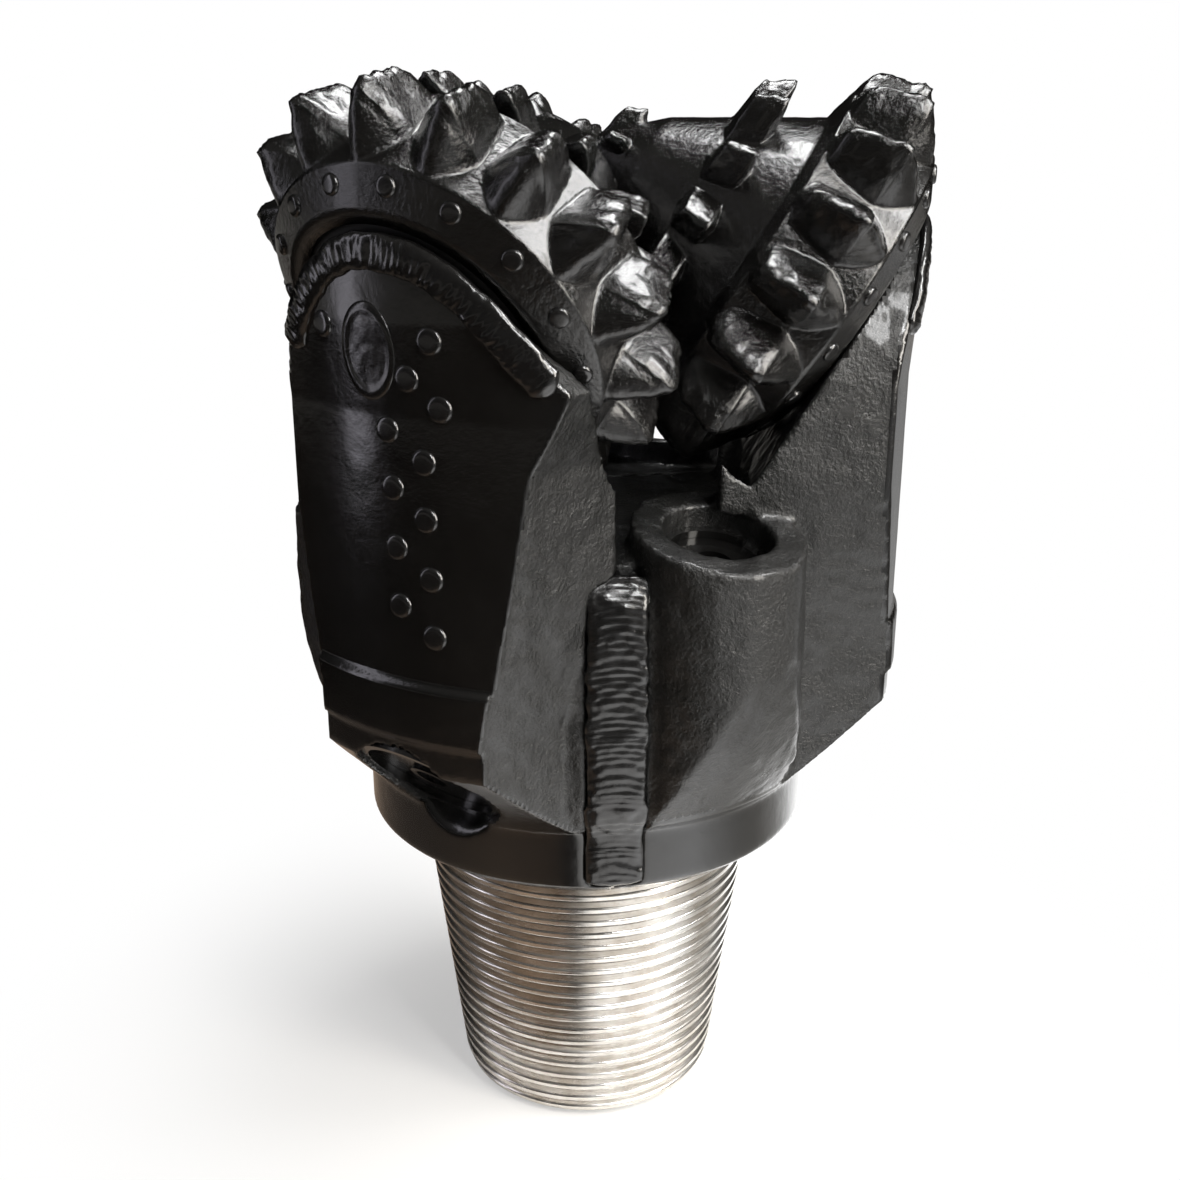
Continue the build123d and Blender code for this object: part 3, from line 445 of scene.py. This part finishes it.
def enamel(name, colour, roughness, grit, grit_depth):
    """Gloss black enamel over steel, sprayed on thick: near black under a clear hard gloss, with a faint
    orange peel 9 mm wide, dust that dulls it in patches 22 mm wide, and the roughness of what is under it,
    grit millimetres wide and grit_depth millimetres deep."""
    made, tree, output = new_material(name)
    place = put(tree, "ShaderNodeTexCoord").outputs["Object"]
    under = put(tree, "ShaderNodeTexNoise", {"Vector": place, "Scale": 1 / (grit * MM), "Detail": 5.0,
                                             "Roughness": 0.6})
    peel = put(tree, "ShaderNodeTexNoise", {"Vector": place, "Scale": 1 / (9.0 * MM), "Detail": 2.0})
    both = put(tree, "ShaderNodeMath", {0: under.outputs["Fac"], 1: peel.outputs["Fac"]}, operation="ADD")
    bump = put(tree, "ShaderNodeBump", {"Strength": 0.9, "Distance": grit_depth * MM,
                                        "Height": both.outputs[0]})
    dust = put(tree, "ShaderNodeTexNoise", {"Vector": place, "Scale": 1 / (22.0 * MM), "Detail": 7.0,
                                            "Roughness": 0.7})
    dull = put(tree, "ShaderNodeMapRange", {
        "Value": dust.outputs["Fac"], "From Min": 0.35, "From Max": 0.7, "To Min": roughness * 0.75,
        "To Max": roughness * 1.5})
    tone = put(tree, "ShaderNodeMix", {"Factor": dust.outputs["Fac"], "A": linear(colour),
                                       "B": linear("#121110")}, data_type="RGBA")
    paint = put(tree, "ShaderNodeBsdfPrincipled", {
        "Base Color": tone.outputs["Result"], "Roughness": dull.outputs[0], "IOR": 1.52, "Coat Weight": 0.35,
        "Coat Roughness": 0.12, "Normal": bump.outputs[0]})
    tree.links.new(paint.outputs[0], output.inputs["Surface"])
    return made


cone_enamel = enamel("gloss_enamel_on_hardfacing", "#070707", 0.09, 1.6, 0.42)
for k in LEGS:
    apex, outward, level, cutting = journal(k)
    # the crests' outline, sampled finely along the journal and then picked at even steps along its length
    sample = np.linspace(noses[k], cone_back, cone_samples)
    bare = bare_cone(sample, noses[k])
    crests = [(gage_line(sample, bare), tooth_count, gage_nose, gage_flank)]
    for first, last, tip, count in rows_of[k]:
        line = row_line(sample, bare, first, last, tip)
        crests.append((line, count, min(2.6, 1.3 + tip * 0.05), row_flank))
    top = np.max([crest for crest, _, _, _ in crests], 0)
    run = np.concatenate([[0], np.cumsum(np.hypot(np.diff(top), np.diff(sample)))])
    pick = np.interp(np.linspace(0, run[-1], cone_rows), run, np.arange(cone_samples))
    pick = np.clip(np.round(pick), 1, cone_samples - 1).astype(int)
    station = sample[pick][:, None]
    root = bare[pick][:, None]
    phi = np.linspace(0, 2 * np.pi, cone_columns, endpoint=False)[None, :]
    radius = np.repeat(root, cone_columns, 1)
    on_tooth = np.zeros_like(radius)
    for crest, count, nose, flank in crests:
        line = crest[pick][:, None]
        height = line - root
        across = ((phi * count / (2 * np.pi) + 0.5) % 1 - 0.5) * 2 * np.pi / count * line
        share = row_share(across, height, nose, np.radians(flank))
        radius = np.maximum(radius, root + height * share)
        on_tooth = np.maximum(on_tooth, smooth(height / 4) * share)
    # weld metal stands in lumps on the teeth and thins out into the gullets; each cone takes its own noise
    spot = np.stack([radius * np.cos(phi), radius * np.sin(phi), station + 0 * phi], 2) + 200 * k
    coat = smooth(on_tooth * 1.5)
    lumpy = (0.15 + 1.15 * coat) * (lumps(spot, 5.2, 11) - 0.35)
    radius = radius + lumpy * np.where(station > gage_last, 0.5, 1.0)
    shift = 0.8 * coat * (lattice(spot / 4.1, 5) - 0.5)
    # the heel stays as it was turned, so that its inserts stand clear
    true_heel = (station > gage_last) & (on_tooth < 0.02)
    radius = np.where(true_heel, np.minimum(radius, root), radius)
    radius = np.minimum(radius, heel(station, -0.25) + 0 * phi)
    wall = np.stack([radius, station + shift], 2)
    inner = np.array(cavity)[:, None, :] + np.zeros((1, cone_columns, 2))
    outline = np.concatenate([wall, inner])
    r, s = outline[..., 0, None], outline[..., 1, None]
    grid = apex + s * outward + r * (np.cos(phi)[..., None] * cutting - np.sin(phi)[..., None] * level)
    surface(f"milled_cone_{k}", grid, f"cone_assembly_{k}", cone_enamel, [f"cone_{k}"])

# ------------------------------------------------------------------ legs
# Three drop-forged alloy steel legs, each a third of the body with its own journal.  Shirttail, slope and
# shank are turned after welding; flanks, boss and crown keep the forging's skin under the enamel.
voxel = 1.2
# the turned outside, as heights and radii: slope, pad with its raised band, and the shirttail's flare
turned_line = [(128.9, 76.2), (157.0, 103.3), (166.0, 103.3), (167.5, 104.9), (184.0, 104.9), (185.5, 103.3),
               (262.0, 103.3), (287.0, 105.2), (313.0, 105.2)]
turned_from = 130.0                  # height where the slope leaves the shank
turned_reach = 1.3                   # what lies this near the turned outside is brought onto it
turned_blend = 0.7                   # and only partly over the last of that
shank_top, shank_inside = 131.0, 70.0
hollow_radius, hollow_low, hollow_top = 62.0, 112.0, 200.0
journal_radius, journal_face = 42.0, 101.5
turned_enamel = enamel("gloss_enamel_on_turned_steel", "#080808", 0.17, 1.4, 0.08)
skin_enamel = enamel("gloss_enamel_on_forging_skin", "#101110", 0.34, 1.3, 0.75)


def forging_skin(spot, seed):
    """How far a forging's skin stands out, in mm: dents 7 and 3 mm wide, and pits 2.6 mm wide."""
    dents = lattice(spot / 7.0, 21 + seed) - 0.5 + 0.55 * (lattice(spot / 3.1, 31 + seed) - 0.5)
    pits = np.minimum(lattice(spot / 2.6, 41 + seed) - 0.3, 0)
    return 0.75 * dents + 0.9 * pits


for k in LEGS:
    blank = nodes[f"leg_{k}"].data.copy()
    # the pressed inserts and the plug are fused into the copy, so that the enamel runs on over their seats
    fused = bmesh.new()
    for part in (blank, nodes[f"shirttail_inserts_{k}"].data, nodes[f"ball_plug_{k}"].data):
        fused.from_mesh(part)
    fused.to_mesh(blank)
    fused.free()
    piece = bpy.data.objects.new(f"forged_leg_{k}", blank)
    scene.collection.objects.link(piece)
    weld = piece.modifiers.new("weld", "WELD")
    weld.merge_threshold = 1e-6
    even = piece.modifiers.new("even", "REMESH")
    even.mode = "VOXEL"
    even.voxel_size = voxel * MM
    ease = piece.modifiers.new("ease", "SMOOTH")
    ease.factor = 0.5
    ease.iterations = 3
    made = bpy.data.meshes.new_from_object(piece.evaluated_get(bpy.context.evaluated_depsgraph_get()))
    piece.modifiers.clear()
    piece.data = made
    made.name = f"forged_leg_{k}"
    spot = np.zeros(len(made.vertices) * 3, np.float32)
    normal = np.zeros(len(made.vertices) * 3, np.float32)
    made.vertices.foreach_get("co", spot)
    made.vertex_normals.foreach_get("vector", normal)
    spot = spot.reshape(-1, 3).astype(float) / MM
    normal = normal.reshape(-1, 3).astype(float)
    # the turned outside is brought back to its true radius after the smoothing
    out = np.hypot(spot[:, 0], spot[:, 1])
    z = spot[:, 2]
    turned = np.interp(z, *np.transpose(turned_line))
    off = np.abs(out - turned)
    pull = smooth((turned_reach - off) / turned_blend) * (z > turned_from)
    spot[:, :2] *= (1 + pull * (turned / np.maximum(out, 1) - 1))[:, None]
    # the skin is full on the forging, faint where it is turned or bored, and none on the journal
    on_outside = (off < turned_reach) & (z > turned_from)
    on_shank = (z < shank_top) & (out > shank_inside)
    in_hollow = ((out < hollow_radius) | (z < hollow_low)) & (z < hollow_top)
    rough = np.where(on_outside | on_shank, 0.10, 1.0) * np.where(in_hollow, 0.2, 1.0)
    apex, outward, *_ = journal(k)
    along = (spot - apex) @ outward
    from_axis = np.linalg.norm(spot - apex - along[:, None] * outward, axis=1)
    rough *= np.where((from_axis < journal_radius) & (along < journal_face), 0.0, 1.0)
    spot += normal * (rough * forging_skin(spot, k))[:, None]
    made.vertices.foreach_set("co", (spot * MM).astype(np.float32).ravel())
    made.polygons.foreach_set("use_smooth", np.ones(len(made.polygons), bool))
    made.materials.clear()
    made.materials.append(turned_enamel)
    made.materials.append(skin_enamel)
    first = np.zeros(len(made.polygons), np.int32)
    made.polygons.foreach_get("loop_start", first)
    corner = np.zeros(len(made.loops), np.int32)
    made.loops.foreach_get("vertex_index", corner)
    made.polygons.foreach_set("material_index", (rough[corner[first]] > 0.5).astype(np.int32))
    made.update()
    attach(piece, "bit_body")
    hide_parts(f"leg_{k}")

# ------------------------------------------------------------------ seam welds
# The legs are joined by deep welds laid in vertical passes; the cap pass stands proud in curved ripples,
# is left as welded, and is sprayed over with the legs.
seam_angle = np.radians(41)
# radii and heights of the seam's line, from the shank's foot to the crown
seam = [(76.4, 111.2), (76.4, 128.0), (79.4, 137.5), (80.2, 150), (80.2, 196), (79.0, 206), (74.0, 212.0)]
bead_step = 0.55


def on_leg(k, x, y, z):
    """Points given as leg 1's out, across and height, turned to leg k's azimuth."""
    azimuth = 2 * np.pi * (k - 1) / 3
    c, s = np.cos(azimuth), np.sin(azimuth)
    return np.stack([x * c - y * s, x * s + y * c, z], -1)


def spline(points):
    """Points at even steps along a Catmull-Rom curve: on each span the cubic through its two ends whose
    slopes are half the chord between their neighbours."""
    p = np.array(points, float)
    p = np.vstack([2 * p[0] - p[1], p, 2 * p[-1] - p[-2]])
    t = np.linspace(0, 1, 40, endpoint=False)[:, None, None]
    a, b, c, d = p[:-3], p[1:-2], p[2:-1], p[3:]
    curve = 0.5 * (2 * b + (c - a) * t + (2 * a - 5 * b + 4 * c - d) * t ** 2
                   + (3 * b - a - 3 * c + d) * t ** 3)
    curve = np.vstack([curve.transpose(1, 0, 2).reshape(-1, p.shape[1]), p[-2]])
    run = np.concatenate([[0], np.cumsum(np.linalg.norm(np.diff(curve, axis=0), axis=1))])
    steps = np.arange(0, run[-1], bead_step)
    return np.stack([np.interp(steps, run, curve[:, i]) for i in range(p.shape[1])], 1)


def bead(route, up, width, height, sunk, ripple, ripple_depth, columns, ends, seed):
    """Weld bead: a half round, sunk below the surface, carried along a route.  Ripples are waves along the
    route whose crests lag as the square of the distance from the middle; the width and the spacing wander,
    and knobs 1.9 and 6 mm wide stand on the top."""
    tangent = np.gradient(route, axis=0)
    tangent /= np.linalg.norm(tangent, axis=1)[:, None]
    up = up - np.sum(up * tangent, 1)[:, None] * tangent
    up /= np.linalg.norm(up, axis=1)[:, None]
    side = np.cross(tangent, up)
    run = np.arange(len(route)) * bead_step
    taper = (np.clip(np.minimum(run, run[-1] - run) / ends, 0.02, 1) ** 0.5)[:, None]
    v = np.linspace(0, 2 * np.pi, columns, endpoint=False)[None, :]
    over = np.sin(v) > 0.05
    across = np.sign(np.cos(v)) * np.abs(np.cos(v)) ** 0.8
    wander, drift = [lattice(np.stack([run / size, run * 0 + seed, run * 0], 1), other)[:, None]
                     for size, other in ((4, 3), (5, 9))]
    half = width / 2 * (1 + 0.16 * (wander - 0.5)) * taper
    wave = 0.5 + 0.5 * np.cos(2 * np.pi * (run[:, None] / ripple + 0.8 * across ** 2 + 1.6 * drift))
    rise = np.where(np.sin(v) > 0, np.abs(np.sin(v)) ** 0.9 * height, -np.abs(np.sin(v)) ** 0.5 * sunk)
    rise = (rise + np.where(over, ripple_depth * wave * np.abs(np.sin(v)), 0)) * taper
    grid = (route[:, None, :] + (across * half)[..., None] * side[:, None, :]
            + rise[..., None] * up[:, None, :])
    knobs = lattice(grid / 1.9, seed) + 0.9 * lattice(grid / 6.0, seed + 3) - 0.95
    knobs = knobs * (0.25 + 1.5 * ripple_depth) * over
    return grid + knobs[..., None] * up[:, None, :]


weld_enamel = enamel("gloss_enamel_on_weld", "#0b0b0c", 0.20, 1.4, 0.12)
for k in LEGS:
    r, z = spline(seam).T
    route = on_leg(k, r * np.cos(seam_angle), r * np.sin(seam_angle), z)
    up = on_leg(k, np.cos(seam_angle) + 0 * z, np.sin(seam_angle) + 0 * z, smooth((z - 203) / 9))
    grid = bead(route, up, width=18.2, height=1.2, sunk=7.5, ripple=2.3, ripple_depth=0.20, columns=56,
                ends=1.6, seed=50 + k)
    surface(f"seam_bead_{k}", grid, "bit_body", weld_enamel, [f"seam_weld_{k}"])

# ------------------------------------------------------------------ shirttail hardfacing
# A thick stringer of hardfacing, weld metal full of carbide grit, is laid by hand along the shirttail's
# arched edge, where it takes the wear off the seal.
# the arch as distances across the leg and heights
arch = [(-31.0, 276.5), (-29.2, 281.5), (-24.0, 290.0), (-14.8, 299.4), (-3.5, 304.8), (8.0, 305.0),
        (20.6, 301.6), (32.9, 293.0), (43.2, 281.6), (52.0, 270.4)]


def on_shirttail(k, y, z, lift=0.0):
    """Points on leg k's shirttail at a distance across and a height, and lift mm above it: the radius grows
    from 103.3 to 105.2 between the heights 262 and 287, and the distance out is the circle's at y."""
    face = np.interp(z, [262, 287], [103.3, 105.2])
    return on_leg(k, np.sqrt(face ** 2 - y ** 2) + lift, y, z)


def radial(points):
    """Level unit directions away from the bit's axis."""
    level = points * (1, 1, 0)
    return level / np.linalg.norm(level, axis=-1, keepdims=True)


facing_enamel = enamel("gloss_enamel_on_stringer", "#0c0c0d", 0.15, 1.1, 0.10)
for k in LEGS:
    route = on_shirttail(k, *spline(arch).T)
    grid = bead(route, radial(route), width=9.8, height=2.1, sunk=1.6, ripple=2.0, ripple_depth=0.20,
                columns=36, ends=3.0, seed=60 + k)
    surface(f"hardfacing_stringer_{k}", grid, "bit_body", facing_enamel,
            [f"shirttail_hardfacing_{k}"])

# ------------------------------------------------------------------ ball plug weld
# The plug that closes the ball hole is welded over and ground nearly flush, which leaves an oval patch
# with a low rim.
plug_y, plug_z = 0.7, 279.0
plug_half_width, plug_half_height = 9.3, 13.4
plug_depth = 1.2
for k in LEGS:
    t, v = np.meshgrid(np.linspace(0.02, 1, 16), np.linspace(0, 2 * np.pi, 64, endpoint=False), indexing="ij")
    y, z = plug_y + plug_half_width * t * np.cos(v), plug_z + plug_half_height * t * np.sin(v)
    grain = lattice(np.stack([y, z, y * 0], 2) / 2.4, 70 + k) - 0.5
    lift = 0.16 * (1 - t ** 8) * (1 + grain) + 0.34 * np.exp(-((t - 0.86) / 0.09) ** 2)
    patch = np.concatenate([on_shirttail(k, y, z, lift), on_shirttail(k, y, z, -plug_depth)[::-1]])
    surface(f"plug_weld_{k}", patch, "bit_body", weld_enamel)

# ------------------------------------------------------------------ inserts
# Sintered tungsten carbide buttons, pressed into the shirttail and the cone's heel until they are all but
# flush, with a domed face and a rounded edge.  The enamel covers them too.
# the button as radii and heights above its seat
button = [(1.6, 0.98), (2.5, 0.94), (3.1, 0.82), (3.5, 0.55), (3.7, 0.15), (3.9, -0.3), (4.0, -2.0),
          (2.0, -2.2)]
button_columns = 28
# distances across the leg and heights of the shirttail's inserts
insert_places = [(-16, 285), (21, 283), (13.2, 272.6), (22.5, 265), (5.5, 258), (17, 250), (6.5, 242),
                 (17, 234), (7, 225), (18, 217), (7.5, 208), (18.5, 200)]
heel_ring = 49.2
insert_enamel = enamel("gloss_enamel_on_carbide", "#0d0d0e", 0.22, 2.5, 0.03)


def buttons(seats, outs, size):
    """Grids of one button for each seat: the outline of radii and heights turned about the outward line."""
    side = np.cross(outs, (0.0, 0.0, 1.0))
    side /= np.linalg.norm(side, axis=1)[:, None]
    up = np.cross(side, outs)
    v = np.linspace(0, 2 * np.pi, button_columns, endpoint=False)[:, None]
    r, h = np.array(button).T[..., None, None]
    spoke = np.cos(v) * side[:, None, None] + np.sin(v) * up[:, None, None]
    return seats[:, None, None] + size * r * spoke + h * outs[:, None, None]


for k in LEGS:
    seats = on_shirttail(k, *np.array(insert_places, float).T)
    surface(f"shirttail_buttons_{k}", buttons(seats, radial(seats), 1.0), "bit_body", insert_enamel,
            [f"shirttail_inserts_{k}"])
    apex, outward, level, cutting = journal(k)
    turns = (np.arange(tooth_count) + 0.5)[:, None] * 2 * np.pi / tooth_count
    spoke = np.cos(turns) * cutting - np.sin(turns) * level
    seats = apex + (reach - heel_ring * np.sin(fall)) / np.cos(fall) * outward + heel_ring * spoke
    outs = np.cos(fall) * outward + np.sin(fall) * spoke
    surface(f"heel_buttons_{k}", buttons(seats, outs, 0.8), f"cone_assembly_{k}", insert_enamel,
            [f"heel_inserts_{k}"])

# ------------------------------------------------------------------ reservoir, nozzle and bearing
# The reservoir's cap and the nozzle lie deep in their pockets, held by snap rings; the cap is painted with
# the body, and the nozzle and its snap ring take the same black enamel as painted shade, which keeps the
# nozzle's pocket dark.
# Bearing pieces are ground steel, bronze and rubber, out of sight in the cones; each keeps its CAD shape.


def metal(name, dark, light, smoothest, roughest, grain):
    """Bare metal: colour and roughness wander between two values with one noise, grain millimetres wide."""
    made, tree, output = new_material(name)
    place = put(tree, "ShaderNodeTexCoord").outputs["Object"]
    noise = put(tree, "ShaderNodeTexNoise", {"Vector": place, "Scale": 1 / (grain * MM), "Detail": 5.0})
    tone = put(tree, "ShaderNodeMix", {"Factor": noise.outputs["Fac"], "A": linear(dark), "B": linear(light)},
               data_type="RGBA")
    rough = put(tree, "ShaderNodeMapRange", {
        "Value": noise.outputs["Fac"], "From Min": 0.3, "From Max": 0.7, "To Min": smoothest,
        "To Max": roughest})
    skin = put(tree, "ShaderNodeBump", {"Strength": 0.3, "Distance": 0.0001, "Height": noise.outputs["Fac"]})
    bare = put(tree, "ShaderNodeBsdfPrincipled", {"Base Color": tone.outputs["Result"], "Metallic": 1.0,
                                                  "Roughness": rough.outputs[0], "Normal": skin.outputs[0]})
    tree.links.new(bare.outputs[0], output.inputs["Surface"])
    return made


# Black nitrile rubber: matte, with a moulded grain 0.8 mm wide.
nitrile, tree, output = new_material("nitrile_rubber")
place = put(tree, "ShaderNodeTexCoord").outputs["Object"]
grain = put(tree, "ShaderNodeTexNoise", {"Vector": place, "Scale": 1 / (0.8 * MM), "Detail": 3.0})
skin = put(tree, "ShaderNodeBump", {"Strength": 0.4, "Distance": 0.0001, "Height": grain.outputs["Fac"]})
tone = put(tree, "ShaderNodeMix", {"Factor": grain.outputs["Fac"], "A": linear("#151515"),
                                   "B": linear("#262626")}, data_type="RGBA")
moulded = put(tree, "ShaderNodeBsdfPrincipled", {"Base Color": tone.outputs["Result"], "Roughness": 0.7,
                                                 "Normal": skin.outputs[0]})
tree.links.new(moulded.outputs[0], output.inputs["Surface"])

pocket_enamel_and_shade = enamel("gloss_enamel_on_cap_and_pocket_shade", "#090909", 0.16, 2.5, 0.04)
ground_steel = metal("ground_bearing_steel", "#b4b6ba", "#d8dade", 0.12, 0.22, 3.0)
rough_turned = metal("turned_mild_steel", "#8c8883", "#bdb9b3", 0.28, 0.45, 4.0)
bronze = metal("bearing_bronze", "#a9743c", "#cf9a58", 0.25, 0.38, 3.0)
finishes = {
    "ball_plug": weld_enamel,
    "reservoir_cap": pocket_enamel_and_shade,
    "reservoir_snap_ring": pocket_enamel_and_shade,
    # painted shade: the nozzle and its snap ring are black enamel so that the nozzle's pocket reads dark
    "nozzle": pocket_enamel_and_shade,
    "nozzle_snap_ring": pocket_enamel_and_shade,
    "reservoir_canister": rough_turned,
    "reservoir_diaphragm": nitrile,
    "nozzle_o_ring": nitrile,
    "bearing_seal": nitrile,
    "roller_set": ground_steel,
    "ball_set": ground_steel,
    "nose_bushing": bronze,
    "thrust_washer": bronze,
}
for name, material in finishes.items():
    for k in LEGS:
        mesh = nodes[f"{name}_{k}"].data
        mesh.materials.clear()
        mesh.materials.append(material)
